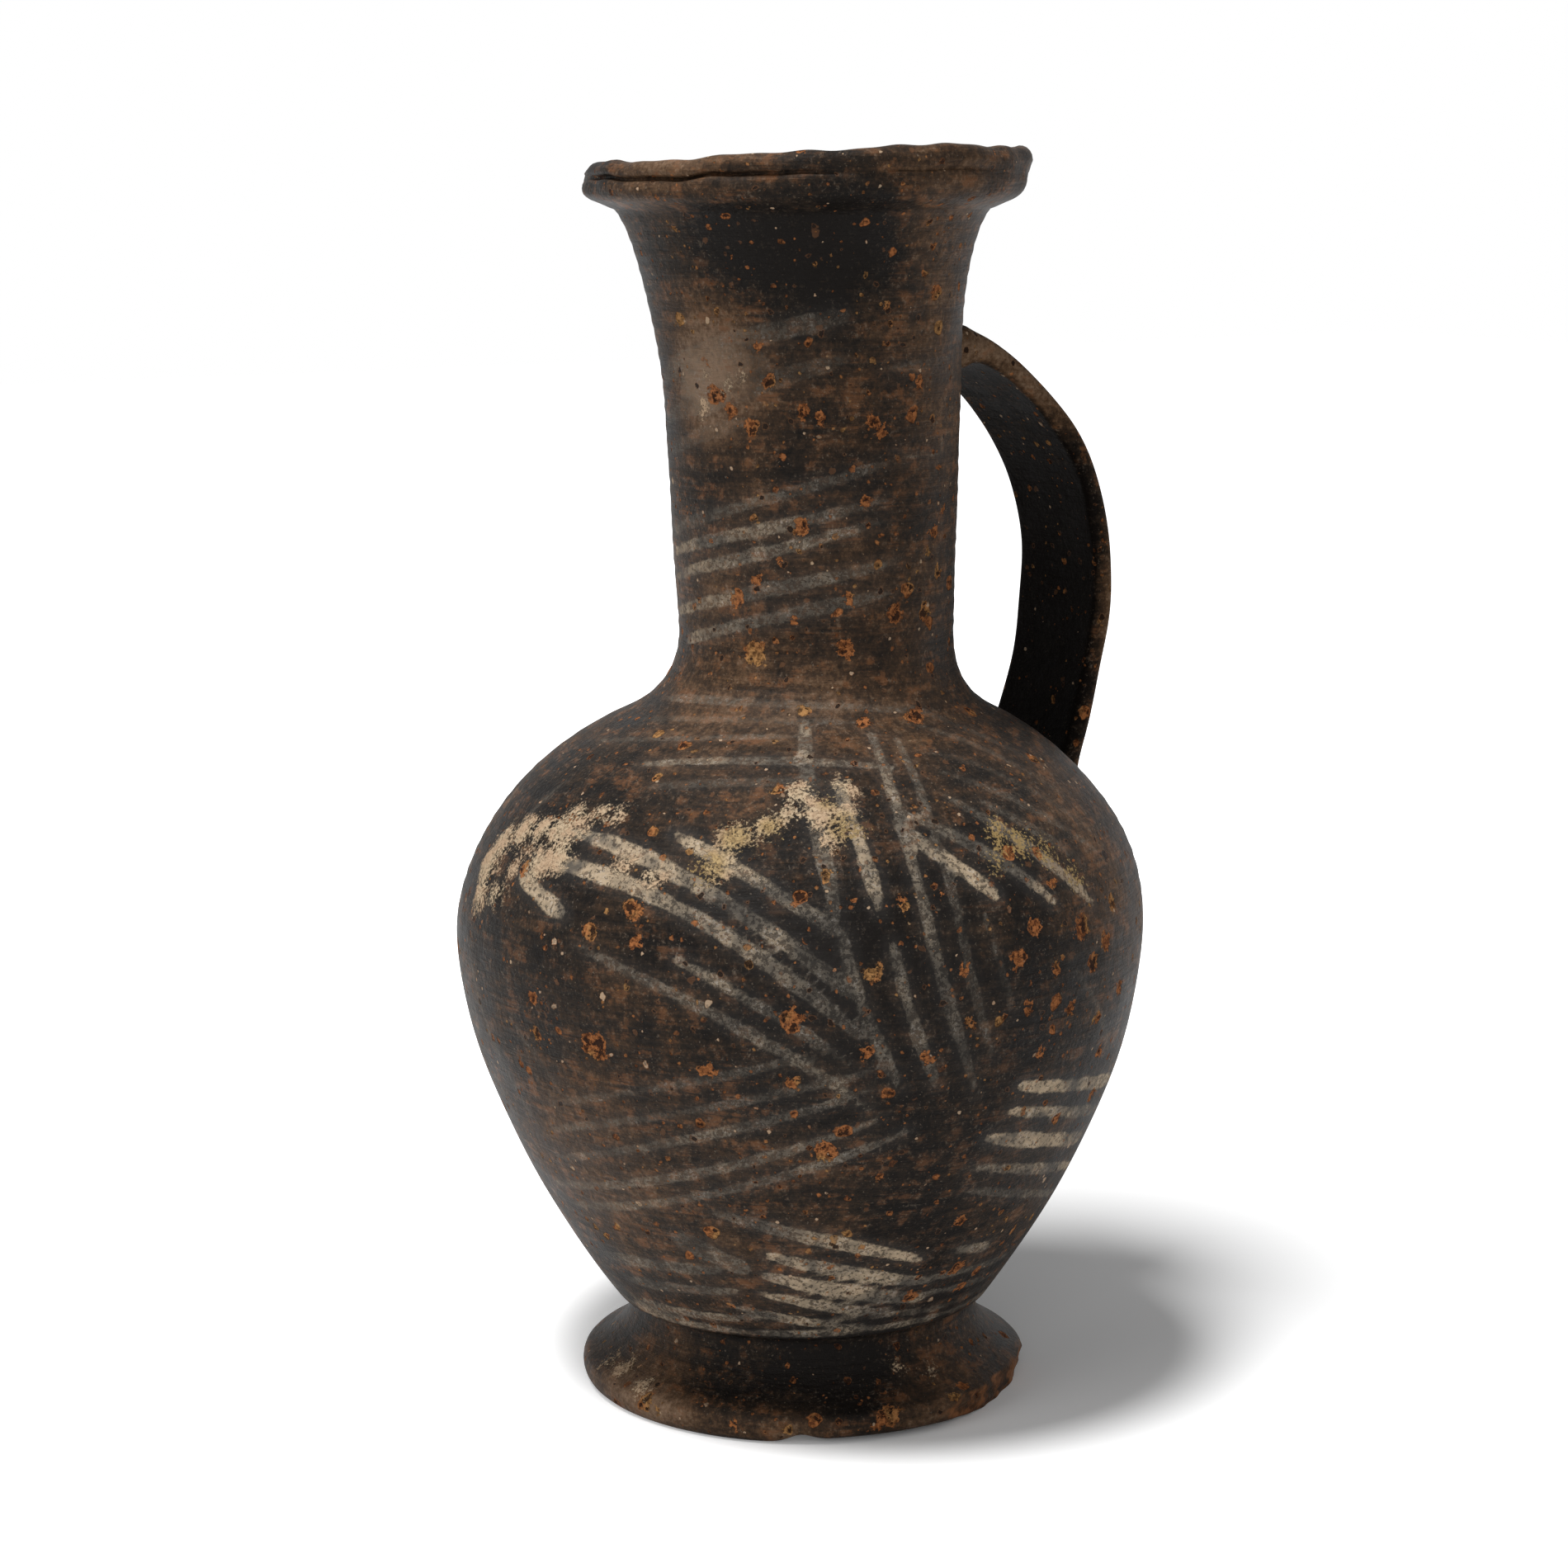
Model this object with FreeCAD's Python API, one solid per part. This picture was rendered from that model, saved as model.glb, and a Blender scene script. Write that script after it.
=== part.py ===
import FreeCAD, Part
import math
import os

from FreeCAD import Vector

# Driving dimensions in millimetres and degrees.
# The jug stands on z = 0 with the belly's axis on the Z axis and the handle towards +X.

# Foot
foot_diameter = 91.4
foot_underside_diameter = 89.2
foot_band_height = 5.3
foot_height = 17.3
foot_waist_diameter = 70.4
foot_edge_round = 1.0
foot_sweep_hollow = 2.2
foot_sweep_climb = 1.4
foot_recess_diameter = 66.0
foot_recess_height = 10.0
foot_recess_mid_share = 0.95
foot_recess_top_share = 0.7

# Body
body_tuck = 2.6
body_joint_diameter = 77.8
belly_diameter = 139.2
belly_height = 95.0
belly_fullness = 1.75
belly_crowding = 1.15
shoulder_rise = 51.4
shoulder_end_angle = 57.0
body_wall = 5.6
floor_height = 25.0
floor_diameter = 46.0
floor_hollow = 2.0

# Neck
neck_diameter = 55.2
neck_foot_height = 155.0
neck_taper = 0.037
neck_wall = 4.4
flare_start_share = 0.475
flare_rise_share = 0.481
flare_width = 8.2
flare_end_angle = 80.0

# Lip
lip_diameter = 87.4
lip_height = 247.9
lip_thickness = 5.6
lip_round = 1.6
lip_crown_inset = 2.1
lip_mouth_inset = 4.2
lip_tilt = 2.1
lip_tilt_azimuth = -64.0
lip_tilt_shares = (0.1, 0.3, 0.9, 1.0, 1.0)

# Open seam of the fold on the lip's outer face
seam_start_azimuth = -205.0
seam_end_azimuth = -118.0
seam_drop = 3.4
seam_depth = 2.0
seam_gape = 1.0
seam_climb = 1.6
seam_tilt_share = 0.6
seam_end_share = 0.15
seam_steps = 8

# Lean of the hand-made wall, as the sideways shift of its centre line
lean_azimuth = -34.0
foot_lean = 0.9
low_body_lean = 0.25
shoulder_lean = 1.1
neck_foot_lean = 3.3
flare_start_lean = 2.4
flare_end_lean = 0.4
lip_lean = 1.8

# Strap handle
strap_width = 27.5
strap_thickness = 4.4
strap_offset = -1.2
strap_reach = 66.6
strap_reach_share = 0.457
strap_top_drop = 38.5
strap_foot_height = 124.0
strap_root_depth = 8.0
strap_root_rise = 0.6
strap_root_swell = 1.25
strap_edge = 1.3

# The strap's bow, as shares of the way out and of the way down, above and below its furthest point
strap_upper_bow = ((0.14, 0.0), (0.42, 0.15), (0.70, 0.36), (0.91, 0.66))
strap_lower_bow = ((0.20, 0.42), (0.62, 0.78))

# Wear of the foot: flat breaks on its edge, a notch under it and a worn stretch that clears the ground
break_azimuths = (-72.0, -58.0, -44.0)
break_depths = (1.1, 1.8, 1.2)
break_lean = 12.0
notch_azimuth = -125.0
notch_width = 7.0
notch_height = 1.2
worn_azimuth = -100.0
worn_width = 46.0
worn_height = 0.9
wedge_margin = 2.0
ground_margin = 1.0

# How many rounds shape each stretch of the wall's outside and the foot's sweep; the inside has half as many
body_rounds = 8
shoulder_rounds = 6
hollow_rounds = 4
flare_rounds = 5
sweep_rounds = 4

outside_rounds = (body_rounds, shoulder_rounds, hollow_rounds, flare_rounds)
inside_rounds = [math.ceil(count / 2) for count in outside_rounds]
lean_direction = Vector(math.cos(math.radians(lean_azimuth)), math.sin(math.radians(lean_azimuth)), 0)
neck_length = lip_height - lip_thickness - neck_foot_height
flare_start_height = neck_foot_height + flare_start_share * neck_length
flare_rise = flare_rise_share * neck_length
strap_top_height = lip_height - strap_top_drop
strap_reach_height = strap_foot_height + strap_reach_share * (strap_top_height - strap_foot_height)


# A smooth step from 0 to 1
def ease(t):
    t = min(max(t, 0.0), 1.0)
    return t * t * (3 - 2 * t)


# The sideways shift of the wall's centre line, eased from one named height to the next
def lean(height):
    shoulder_height = (belly_height + shoulder_rise + belly_height) / 2
    stops = [
        (0.0, foot_lean),
        (2 * foot_height, low_body_lean),
        (belly_height, 0.0),
        (shoulder_height, shoulder_lean),
        (neck_foot_height, neck_foot_lean),
        (flare_start_height, flare_start_lean),
        (flare_start_height + flare_rise, flare_end_lean),
        (lip_height, lip_lean),
    ]
    for (low, low_lean), (high, high_lean) in zip(stops, stops[1:]):
        if height <= high:
            return low_lean + (high_lean - low_lean) * ease((height - low) / (high - low))
    return lip_lean


# Radius of the neck: a slow taper and then the elliptical flare under the lip
def neck_radius(height):
    climb = min(max((height - flare_start_height) / flare_rise, 0.0), 1.0)
    taper = neck_taper * (height - neck_foot_height)
    return neck_diameter / 2 + taper + flare_width * (1 - math.sqrt(1 - climb * climb))


# Lower body: the tuck above the foot's waist and the swell up to the belly
def body_stations(count):
    joint = body_joint_diameter / 2
    low = foot_height + body_tuck
    stations = [(foot_waist_diameter / 2, foot_height)]
    for step in range(count + 1):
        share = (step / count) ** belly_crowding
        radius = joint + (belly_diameter / 2 - joint) * (1 - (1 - share) ** belly_fullness)
        stations.append((radius, low + share * (belly_height - low)))
    return stations


# Shoulder: a quarter of an ellipse, left where the neck's foot takes over in an easy hollow curve
def shoulder_stations(count, hollow_count):
    end = math.radians(shoulder_end_angle)
    belly = belly_diameter / 2
    neck = neck_diameter / 2
    stations = []
    for step in range(1, count + 1):
        angle = end * step / count
        stations.append((belly * math.cos(angle), belly_height + shoulder_rise * math.sin(angle)))
    end_radius, end_height = stations[-1]
    corner_height = end_height + (end_radius - neck) * shoulder_rise / (belly * math.tan(end))
    for step in range(1, hollow_count + 1):
        t = step / hollow_count
        radius = (1 - t) ** 2 * end_radius + (1 - (1 - t) ** 2) * neck
        height = (1 - t) ** 2 * end_height + 2 * t * (1 - t) * corner_height + t * t * neck_foot_height
        stations.append((radius, height))
    return stations


# Neck and flare up to the underside of the lip
def neck_stations(count):
    stations = [(neck_radius(flare_start_height), flare_start_height)]
    for step in range(1, count + 1):
        angle = math.radians(flare_end_angle) * step / count
        height = flare_start_height + flare_rise * math.sin(angle)
        stations.append((neck_radius(height), height))
    return stations


# Where the wall's outside stands, on the handle's side, at a height
def wall_side(height):
    stations = wall_stations(outside_rounds)
    side = stations[0][0] if height < stations[0][1] else stations[-1][0]
    for (low_radius, low), (high_radius, high) in zip(stations, stations[1:]):
        if low <= height <= high:
            side = low_radius + (high_radius - low_radius) * (height - low) / (high - low)
    return side + lean(height) * lean_direction.x


# One round of the wall, leaning with its height; the lip's rounds also tilt, in part or in full
def ring(radius, height, tilt_share=0.0):
    centre = lean_direction * lean(height) + Vector(0, 0, height)
    slope = tilt_share * lip_tilt / (lip_diameter / 2)
    azimuth = math.radians(lip_tilt_azimuth)
    axis = Vector(-slope * math.cos(azimuth), -slope * math.sin(azimuth), 1)
    return Part.Wire(Part.makeCircle(radius, centre, axis))


# How much higher the lip stands at an azimuth than its mean height
def lip_rise(azimuth):
    return lip_tilt * math.cos(azimuth - math.radians(lip_tilt_azimuth))


# The stations from the foot's waist to the underside of the lip, with a number of rounds for each stretch
def wall_stations(rounds):
    body, shoulder, hollow, flare = rounds
    return body_stations(body) + shoulder_stations(shoulder, hollow) + neck_stations(flare)


# The stations moved in along the wall's normal, by a share of the wall's thickness
def inside_stations(share_of_wall):
    outside = wall_stations(inside_rounds)
    stations = []
    for below, here, above in zip(outside, outside[1:], outside[2:]):
        run = above[0] - below[0]
        rise = above[1] - below[1]
        length = math.hypot(run, rise)
        share = ease((here[1] - belly_height) / (neck_foot_height - belly_height))
        wall = share_of_wall * (body_wall + (neck_wall - body_wall) * share)
        stations.append((here[0] - wall * rise / length, here[1] + wall * run / length))
    return [station for station in stations if station[1] > floor_height + body_wall]


# The lip's folded edge, from the flare's end over its top to the mouth
def lip_stations():
    edge = lip_diameter / 2
    under = lip_height - lip_thickness
    return [
        (edge - lip_round, under - lip_round / 2),
        (edge, under + lip_round),
        (edge - lip_round / 3, lip_height - lip_round / 2),
        (edge - lip_crown_inset, lip_height),
        (edge - lip_mouth_inset, lip_height - lip_round / 2),
    ]


# The thrown wall: rings up the outside, over the lip and down the inside to the floor, joined band by band
def thrown_wall():
    inside = inside_stations(1.0)
    rings = [ring(*station) for station in wall_stations(outside_rounds)]
    rings += [ring(*station, share) for station, share in zip(lip_stations(), lip_tilt_shares)]
    rings += [ring(*station) for station in reversed(inside)]
    bottom = inside[0][0]
    rings.append(ring((bottom + floor_diameter / 2) / 2, floor_height + floor_hollow))
    rings.append(ring(floor_diameter / 2, floor_height))
    return Part.makeLoft(rings, True, True)


# The ring foot: a rounded band at its edge and a hollow sweep up to the waist, over a hollow underside
def ring_foot():
    waist = foot_waist_diameter / 2
    edge = foot_diameter / 2
    sweep = foot_height - foot_band_height
    rings = [
        ring(foot_underside_diameter / 2, 0.0),
        ring(edge, 0.5 * foot_band_height),
        ring(edge - foot_edge_round, foot_band_height),
    ]
    for step in range(1, sweep_rounds + 1):
        share = step / sweep_rounds
        radius = waist + (edge - foot_edge_round - waist) * (1 - share) ** foot_sweep_hollow
        rings.append(ring(radius, foot_band_height + sweep * share ** foot_sweep_climb))
    foot = Part.makeLoft(rings, True, True)
    rim = foot_recess_diameter / 2
    hollow = [
        ring(rim, -ground_margin),
        ring(foot_recess_mid_share * rim, foot_recess_height / 2),
        ring(foot_recess_top_share * rim, foot_recess_height),
    ]
    return foot.cut(Part.makeLoft(hollow, True, True))


# One section of the strap across its path: a flat strip with softened edges
def strap_section(point, tangent, width, thickness):
    across = Vector(0, 1, 0)
    through = tangent.cross(across)
    side = width / 2
    deep = thickness / 2
    soft = strap_edge
    outline = [(-side, -deep + soft), (-side, deep - soft), (-side + soft, deep), (side - soft, deep),
               (side, deep - soft), (side, -deep + soft), (side - soft, -deep), (-side + soft, -deep)]
    corners = [point + across * sideways + through * outward for sideways, outward in outline]
    return Part.makePolygon(corners + corners[:1])


# The strap handle, from inside the neck's wall out to its reach and down into the shoulder's wall
def strap_handle():
    neck_side = wall_side(strap_top_height)
    shoulder_side = wall_side(strap_foot_height)
    out = strap_reach - neck_side
    back = strap_reach - shoulder_side
    high = strap_top_height - strap_reach_height
    low = strap_reach_height - strap_foot_height
    path = [(neck_side - strap_root_depth, strap_top_height + strap_root_rise)]
    path += [(neck_side + away * out, strap_top_height - down * high) for away, down in strap_upper_bow]
    path.append((strap_reach, strap_reach_height))
    path += [(strap_reach - away * back, strap_reach_height - down * low) for away, down in strap_lower_bow]
    path.append((shoulder_side - strap_root_depth / 2, strap_foot_height - strap_root_depth))
    points = [Vector(x, strap_offset, z) for x, z in path]
    line = Part.BSplineCurve()
    line.interpolate(points)
    sections = []
    for index, point in enumerate(points):
        tangent = line.tangent(line.parameter(point))[0]
        root = index in (0, len(points) - 1)
        thickness = strap_thickness * (strap_root_swell if root else 1.0)
        sections.append(strap_section(point, tangent, strap_width, thickness))
    return Part.makeLoft(sections, True, False)


# The jug's form at half the wall's thickness, where the handle's roots end inside the clay
def wall_core():
    return Part.makeLoft([ring(*station) for station in inside_stations(0.5)], True, True)


# The open seam of the folded lip: a thin wedge that follows the lip and closes at both ends
def fold_seam():
    centre = lean_direction * lip_lean
    edge = lip_diameter / 2
    wires = []
    for step in range(seam_steps + 1):
        share = step / seam_steps
        azimuth = math.radians(seam_start_azimuth + share * (seam_end_azimuth - seam_start_azimuth))
        outward = Vector(math.cos(azimuth), math.sin(azimuth), 0)
        open_share = seam_end_share + (1 - seam_end_share) * math.sin(math.pi * share)
        height = lip_height - seam_drop + seam_tilt_share * lip_rise(azimuth) + seam_climb * share * share
        inner = centre + outward * (edge - seam_depth * open_share)
        outer = centre + outward * (edge + seam_gape)
        gape = seam_gape * open_share
        corners = [Vector(inner.x, inner.y, height), Vector(outer.x, outer.y, height - gape),
                   Vector(outer.x, outer.y, height + gape)]
        wires.append(Part.makePolygon(corners + corners[:1]))
    return Part.makeLoft(wires, True, True)


# A block whose inner face is a flat break, leaning in towards the ground
def edge_break(azimuth, depth):
    size = foot_diameter / 2
    block = Part.makeBox(size, size, size, Vector(size - depth, -size / 2, foot_band_height - size))
    block.rotate(Vector(size - depth, 0, foot_band_height), Vector(0, 1, 0), break_lean)
    block.rotate(Vector(0, 0, 0), Vector(0, 0, 1), azimuth)
    block.translate(lean_direction * foot_lean)
    return block


# A wedge cut up into the foot's underside, deepest at the foot's edge
def underside_wedge(azimuth, width, height):
    reach = foot_diameter / 2 + wedge_margin
    tip = foot_recess_diameter / 2 - wedge_margin
    corners = [
        Vector(tip, 0, 0),
        Vector(reach, -width / 2, 0),
        Vector(reach, 0, height),
        Vector(reach, width / 2, 0),
    ]
    faces = []
    for picks in ((0, 1, 2), (0, 2, 3), (0, 3, 1), (1, 3, 2)):
        triangle = [corners[pick] for pick in picks]
        faces.append(Part.Face(Part.makePolygon(triangle + triangle[:1])))
    wedge = Part.makeSolid(Part.makeShell(faces))
    wedge.rotate(Vector(0, 0, 0), Vector(0, 0, 1), azimuth)
    wedge.translate(lean_direction * foot_lean)
    return wedge


def jug():
    wall = thrown_wall()
    handle = strap_handle().cut(wall_core())
    clay = wall.fuse([ring_foot(), handle])
    wear = [fold_seam()]
    wear += [edge_break(azimuth, depth) for azimuth, depth in zip(break_azimuths, break_depths)]
    wear.append(underside_wedge(notch_azimuth, notch_width, notch_height))
    wear.append(underside_wedge(worn_azimuth, worn_width, worn_height))
    return clay.cut(wear)


os.makedirs("parts", exist_ok=True)
jug().exportStep("parts/jug.step")
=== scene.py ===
import math

import bpy
import numpy as np
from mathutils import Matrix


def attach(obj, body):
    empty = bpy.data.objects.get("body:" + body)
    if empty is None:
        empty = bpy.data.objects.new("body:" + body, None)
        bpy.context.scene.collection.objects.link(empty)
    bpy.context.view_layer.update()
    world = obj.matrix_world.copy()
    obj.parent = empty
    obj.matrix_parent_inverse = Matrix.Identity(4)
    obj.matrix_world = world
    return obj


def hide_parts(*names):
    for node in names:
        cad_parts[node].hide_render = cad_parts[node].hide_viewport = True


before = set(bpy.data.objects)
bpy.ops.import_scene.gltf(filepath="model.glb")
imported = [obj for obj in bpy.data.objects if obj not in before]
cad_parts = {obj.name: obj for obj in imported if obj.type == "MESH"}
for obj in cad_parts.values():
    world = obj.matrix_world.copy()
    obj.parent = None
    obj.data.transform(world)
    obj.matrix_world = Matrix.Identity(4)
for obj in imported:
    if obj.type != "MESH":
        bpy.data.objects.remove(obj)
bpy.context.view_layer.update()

bpy.context.scene.view_settings.view_transform = "Standard"

# The pot: foot, body, neck and lip are one wall of iron-rich clay, thrown on the wheel in one piece,
# its lip folded over, then covered with dark slip, rubbed smooth, striped with pale clay paint and fired.
# Lengths are in millimetres and azimuths in degrees; the handle is at azimuth 0.
mm = 0.001
belly_radius, belly_height = 69.6, 95.0
joint_radius, joint_height = 38.9, 19.9
shoulder_rise, shoulder_end_angle = 51.4, math.radians(57.0)
neck_radius, neck_foot_height, neck_taper = 27.6, 155.0, 0.037
flare_start, flare_rise, flare_width = 196.5, 42.0, 8.2
lip_radius, lip_height = 43.6, 247.8
lip_tilt, lip_tilt_azimuth = 2.0, -64.0
inner_wall = 4.6
columns = 288

# The centre line of the hand-made wall wanders a little on its way up, towards one side
lean_azimuth = math.radians(-34.0)
lean_heights = np.array([0.0, 34.6, 95.0, 120.7, 155.0, 196.5, 238.5, 247.9])
lean_shifts = np.array([0.9, 0.25, 0.0, 1.1, 3.3, 2.4, 0.4, 1.8])


def wall_lean(height):
    step = np.clip(np.searchsorted(lean_heights, height, side="right") - 1, 0, len(lean_heights) - 2)
    share = np.clip((height - lean_heights[step]) / (lean_heights[step + 1] - lean_heights[step]), 0.0, 1.0)
    return lean_shifts[step] + (lean_shifts[step + 1] - lean_shifts[step]) * share * share * (3 - 2 * share)


# A smooth line through a few chosen points
def drawn_through(points, steps=12):
    points = np.array(points, float)
    padded = np.vstack([2 * points[0] - points[1], points, 2 * points[-1] - points[-2]])
    line = []
    for a, b, c, d in zip(padded, padded[1:], padded[2:], padded[3:]):
        for t in np.arange(steps) / steps:
            line.append(0.5 * (2 * b + (c - a) * t + (2 * a - 5 * b + 4 * c - d) * t**2
                               + (3 * b - a - 3 * c + d) * t**3))
    line.append(points[-1])
    return np.array(line)


# The same line cut again into steps of about one length
def stepped(line, length):
    travel = np.concatenate([[0.0], np.cumsum(np.hypot(np.diff(line[:, 0]), np.diff(line[:, 1])))])
    places = np.linspace(0.0, travel[-1], max(2, round(travel[-1] / length) + 1))
    return np.column_stack([np.interp(places, travel, line[:, k]) for k in range(line.shape[1])])


# The outline in stretches, each point a radius, a height and the share of the lip's tilt that it takes
share = np.linspace(0.0, 1.0, 60)
swell = np.column_stack([joint_radius + (belly_radius - joint_radius) * (1 - (1 - share) ** 1.75),
                         joint_height + share * (belly_height - joint_height), 0 * share])
angle = shoulder_end_angle * share
shoulder = np.column_stack([belly_radius * np.cos(angle), belly_height + shoulder_rise * np.sin(angle), 0 * share])
end_radius, end_height = shoulder[-1, 0], shoulder[-1, 1]
corner = end_height + (end_radius - neck_radius) * shoulder_rise / (belly_radius * math.tan(shoulder_end_angle))
hollow = np.column_stack([(1 - share) ** 2 * end_radius + (1 - (1 - share) ** 2) * neck_radius,
                          (1 - share) ** 2 * end_height + 2 * share * (1 - share) * corner
                          + share**2 * neck_foot_height, 0 * share])
neck = np.column_stack([neck_radius + neck_taper * (flare_start - neck_foot_height) * share,
                        neck_foot_height + (flare_start - neck_foot_height) * share, 0 * share])
angle = math.radians(78.0) * share
flare = np.column_stack([neck[-1, 0] + neck_taper * flare_rise * np.sin(angle) + flare_width * (1 - np.cos(angle)),
                         flare_start + flare_rise * np.sin(angle), 0.05 * share])
underside = drawn_through([(12.0, 9.8, 0), (24.0, 9.4, 0), (30.5, 6.0, 0), (32.4, 2.0, 0), (33.4, 0.25, 0)])
foot = drawn_through([(33.4, 0.25, 0), (35.0, 0.02, 0), (40.0, 0.02, 0), (43.8, 0.1, 0), (45.1, 1.2, 0),
                      (45.6, 3.0, 0), (45.3, 4.8, 0), (44.4, 5.8, 0), (42.4, 6.9, 0), (39.6, 8.8, 0),
                      (37.0, 11.5, 0), (35.6, 14.5, 0), (35.2, 17.2, 0), (35.8, 18.5, 0)])
tuck = drawn_through([(35.8, 18.5, 0), (37.2, 18.9, 0), (38.4, 19.3, 0), (joint_radius, joint_height, 0)])
lip_low = drawn_through([tuple(flare[-1]), (39.9, 238.8, 0.06), (41.6, 239.5, 0.1), (42.9, 240.5, 0.2),
                         (43.4, 241.7, 0.4), (43.5, 242.9, 0.5), (43.3, 243.7, 0.6)])
fold = np.array([(43.3, 243.7, 0.6), (43.0, 243.9, 0.6), (42.2, 244.0, 0.6), (42.2, 244.5, 0.6),
                 (43.1, 244.7, 0.6), (43.4, 245.0, 0.62)])
lip_high = drawn_through([(43.4, 245.0, 0.62), (lip_radius, 245.9, 0.8), (43.0, 247.2, 0.95), (42.0, lip_height, 1),
                          (40.8, lip_height, 1), (39.7, 247.1, 1), (38.6, 245.6, 0.9), (37.0, 243.0, 0.5)])
outside = np.vstack([stepped(swell, 1.4), stepped(shoulder, 1.4)[1:], stepped(hollow, 1.3)[1:],
                     stepped(neck, 1.4)[1:], stepped(flare, 1.3)[1:]])
guide = np.vstack([stepped(swell, 6.0), stepped(shoulder, 6.0)[1:], stepped(hollow, 5.0)[1:],
                   stepped(neck, 7.0)[1:], stepped(flare, 5.0)[1:-1]])
run = np.gradient(guide[:, 0])
climb = np.gradient(guide[:, 1])
inside = guide.copy()
inside[:, 0] -= inner_wall * climb / np.hypot(run, climb)
inside[:, 1] += inner_wall * run / np.hypot(run, climb)
inside = inside[inside[:, 1] > 32.0][::-1]
inside = np.vstack([inside, [(38.0, 29.0, 0), (30.0, 26.4, 0), (18.0, 25.3, 0), (6.0, 25.0, 0)]])
parts = [stepped(underside, 3.0), stepped(foot, 0.9)[1:], stepped(tuck, 0.7)[1:], outside[1:],
         stepped(lip_low, 0.75)[1:], fold[1:], stepped(lip_high, 0.75)[1:], inside]
outline = np.vstack(parts)
ends = np.cumsum([len(part) for part in parts])
rows_of = dict(zip(("underside", "foot", "tuck", "outside", "lip_low", "fold", "lip_high", "inside"),
                   (slice(a, b) for a, b in zip([0, *ends[:-1]], ends))))

azimuth = np.linspace(-np.pi, np.pi, columns, endpoint=False)[None, :]
degrees = np.degrees(azimuth)
radius = np.repeat(outline[:, 0:1], columns, axis=1)
height = np.repeat(outline[:, 1:2], columns, axis=1)
rise = lip_tilt * np.cos(azimuth - math.radians(lip_tilt_azimuth))
rise = rise + 0.30 * np.sin(3 * azimuth + 0.4) + 0.20 * np.sin(7 * azimuth) + 0.14 * np.sin(17 * azimuth + 1.0)
rise = rise + 0.10 * np.sin(29 * azimuth + 2.0)
height = height + outline[:, 2:3] * rise


# The angle from one azimuth to another, the short way round
def turn(degrees, middle):
    return (degrees - middle + 180.0) % 360.0 - 180.0


# Uneven hand work: slow dents round and up the wall, in millimetres
def hand_waves(azimuth, height):
    return (0.16 * np.sin(2 * azimuth + 0.045 * height + 0.5) + 0.10 * np.sin(3 * azimuth - 0.08 * height)
            + 0.07 * np.sin(5 * azimuth + 0.15 * height + 1.2) + 0.05 * np.sin(9 * azimuth - 0.24 * height + 0.3))


outer = slice(rows_of["tuck"].start, rows_of["outside"].stop)
dents = hand_waves(azimuth, height[outer]) - 0.2
ridges = 0.05 * np.sin(height[outer] * 1.9 + 0.8 * np.sin(azimuth)) + 0.03 * np.sin(height[outer] * 3.1)
radius[outer] += dents + ridges * (height[outer] > 100)

# The fold of the lip has opened into a seam on the front and left, and only shows as a dent elsewhere
opening = np.exp(-(turn(degrees, -160.0) / 36.0) ** 4)
opening = opening * (0.80 + 0.20 * np.sin(9 * azimuth + 0.7)) + 0.22 * np.exp(-(turn(degrees, -88.0) / 15.0) ** 4)
fold_depths = np.array([1.0, 2.6, 2.6, 0.9, 0.1])[:, None]
radius[rows_of["fold"]] = lip_radius - 0.25 - fold_depths * opening
for rows in ("lip_low", "fold", "lip_high"):
    lumps = 0.20 * np.sin(11 * azimuth + 0.9 * height[rows_of[rows]]) + 0.12 * np.sin(23 * azimuth + 1.3)
    radius[rows_of[rows]] += lumps * np.clip((height[rows_of[rows]] - 239.0) / 3.0, 0.0, 1.0) - 0.1
    wander = 0.35 * np.sin(5.0 * azimuth + 0.6) + 0.18 * np.sin(21 * azimuth)
    height[rows_of[rows]] += wander * np.exp(-((outline[rows_of[rows], 1:2] - 244.3) / 0.9) ** 2) * opening

# Breaks on the foot's edge, a notch under it, and a worn stretch that no longer touches the ground
foot_rows = rows_of["foot"]
foot_height = height[foot_rows]
whole = radius[foot_rows].copy()
foot_edge_radius, break_slope, break_half_angle, break_top = 45.7, math.radians(12.0), 20.0, 6.5
for middle, depth in ((-72.0, 1.1), (-58.0, 1.8), (-44.0, 1.2)):
    slope = math.tan(break_slope) * np.clip(5.3 - foot_height, 0.0, 6.0)
    rough = 0.15 * np.sin(23 * azimuth + 2.1 * foot_height) + 0.1 * np.sin(41 * azimuth - 3.0 * foot_height)
    plane = (foot_edge_radius - depth - slope + rough) / np.cos(np.radians(turn(degrees, middle)))
    near = (np.abs(turn(degrees, middle)) < break_half_angle) & (foot_height < break_top)
    radius[foot_rows] = np.where(near, np.minimum(radius[foot_rows], plane), radius[foot_rows])
broken = np.zeros_like(radius)
broken[foot_rows] = np.clip((whole - radius[foot_rows]) / 0.5, 0.0, 1.0)
low = np.clip(1 - foot_height / 3.5, 0.0, 1.0) * np.clip((whole - 33.0) / 3.0, 0.0, 1.0)
height[foot_rows] += low * 1.3 * np.exp(-(turn(degrees, -125.0) / 4.0) ** 2)
height[foot_rows] += low * 0.9 * np.exp(-(turn(degrees, -100.0) / 26.0) ** 4)

places = np.stack([radius * np.cos(azimuth) + wall_lean(height) * math.cos(lean_azimuth),
                   radius * np.sin(azimuth) + wall_lean(height) * math.sin(lean_azimuth), height], axis=-1)


# A point on the outside of the wall at an azimuth and a height
def on_wall(azimuth, height):
    skin = outline[rows_of["foot"].start:rows_of["lip_high"].start]
    radius = np.interp(height, skin[:, 1], skin[:, 0])
    lean = wall_lean(height)
    return np.stack([radius * np.cos(np.radians(azimuth)) + lean * math.cos(lean_azimuth),
                     radius * np.sin(np.radians(azimuth)) + lean * math.sin(lean_azimuth), height], axis=-1)


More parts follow.
